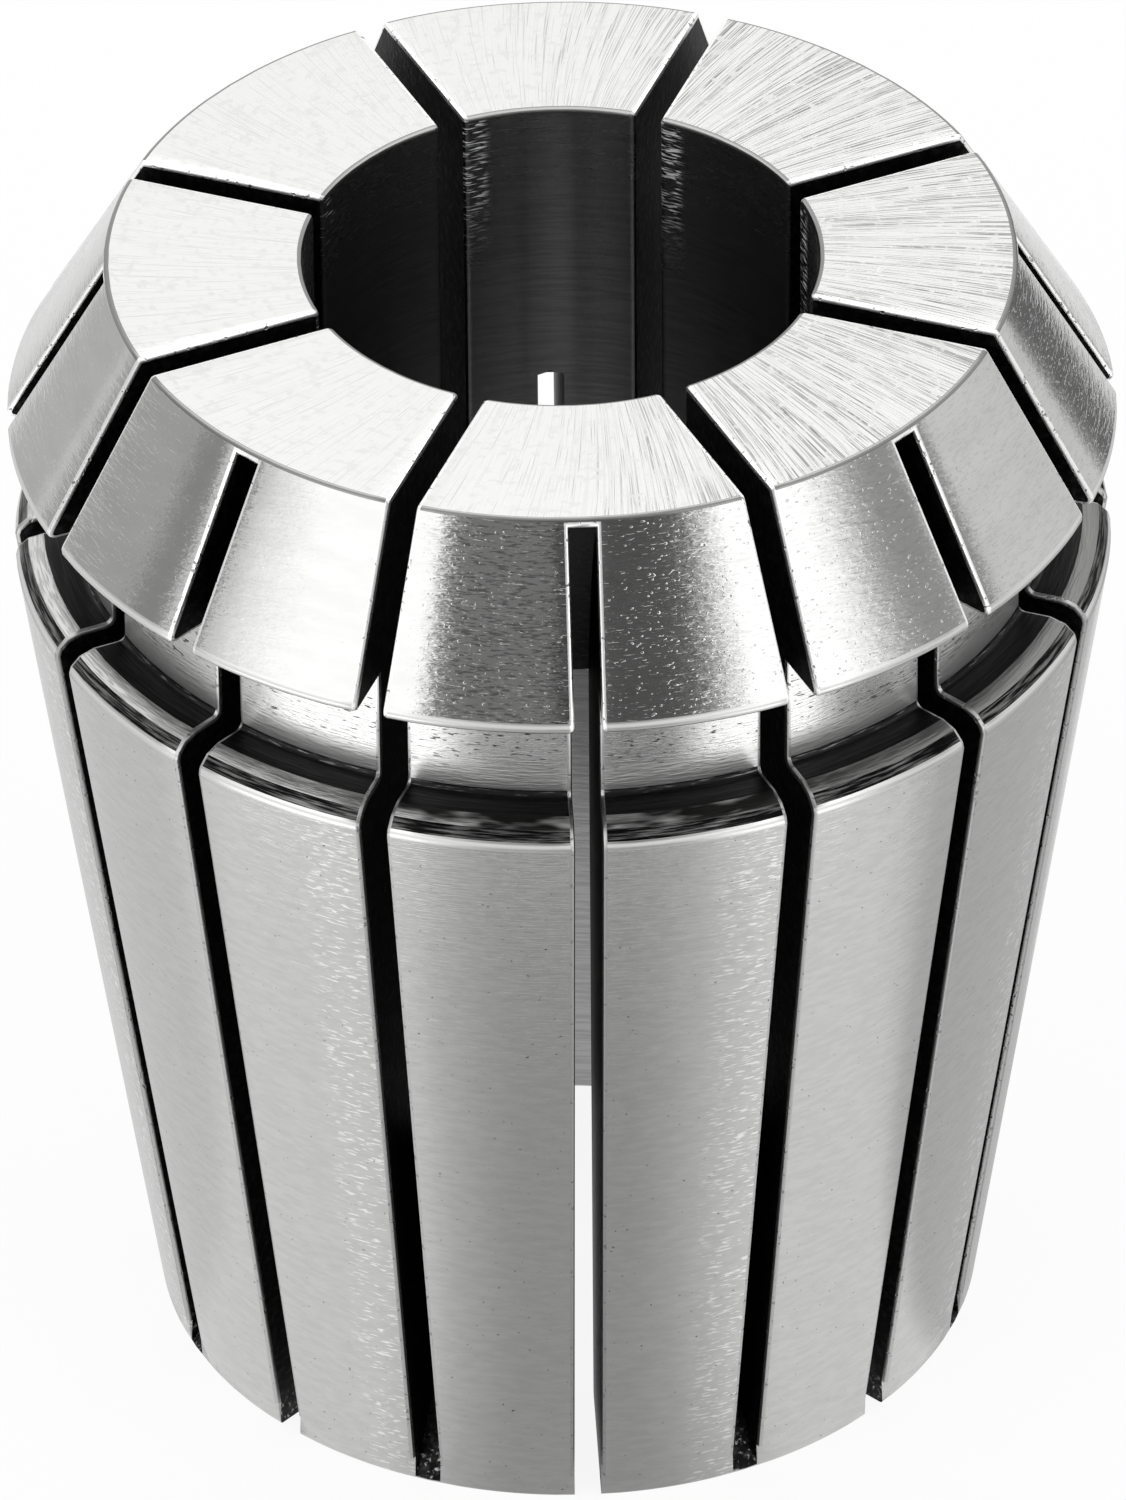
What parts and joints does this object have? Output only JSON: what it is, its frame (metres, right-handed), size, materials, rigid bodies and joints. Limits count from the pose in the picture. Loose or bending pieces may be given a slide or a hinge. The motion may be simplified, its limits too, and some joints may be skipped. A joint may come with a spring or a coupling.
{
  "type": "er collet",
  "caption": "Slotted spring collet: a long seat cone, a groove for the clamping nut, a conical nose and a straight through bore.",
  "frame": {"origin": "centre of the small back face, where the bore's axis meets it", "axes": "+Z along the bore's axis towards the nose; a slot sawn from the back lies on +X and on each 45 degrees from it"},
  "size_m": [0.041, 0.041, 0.046],
  "materials": {
    "ground_steel": "hardened steel, satin ground outside, darker in the bore and slots"
  },
  "bodies": {
    "root": {"collet": "ground_steel"}
  },
  "joints": []
}
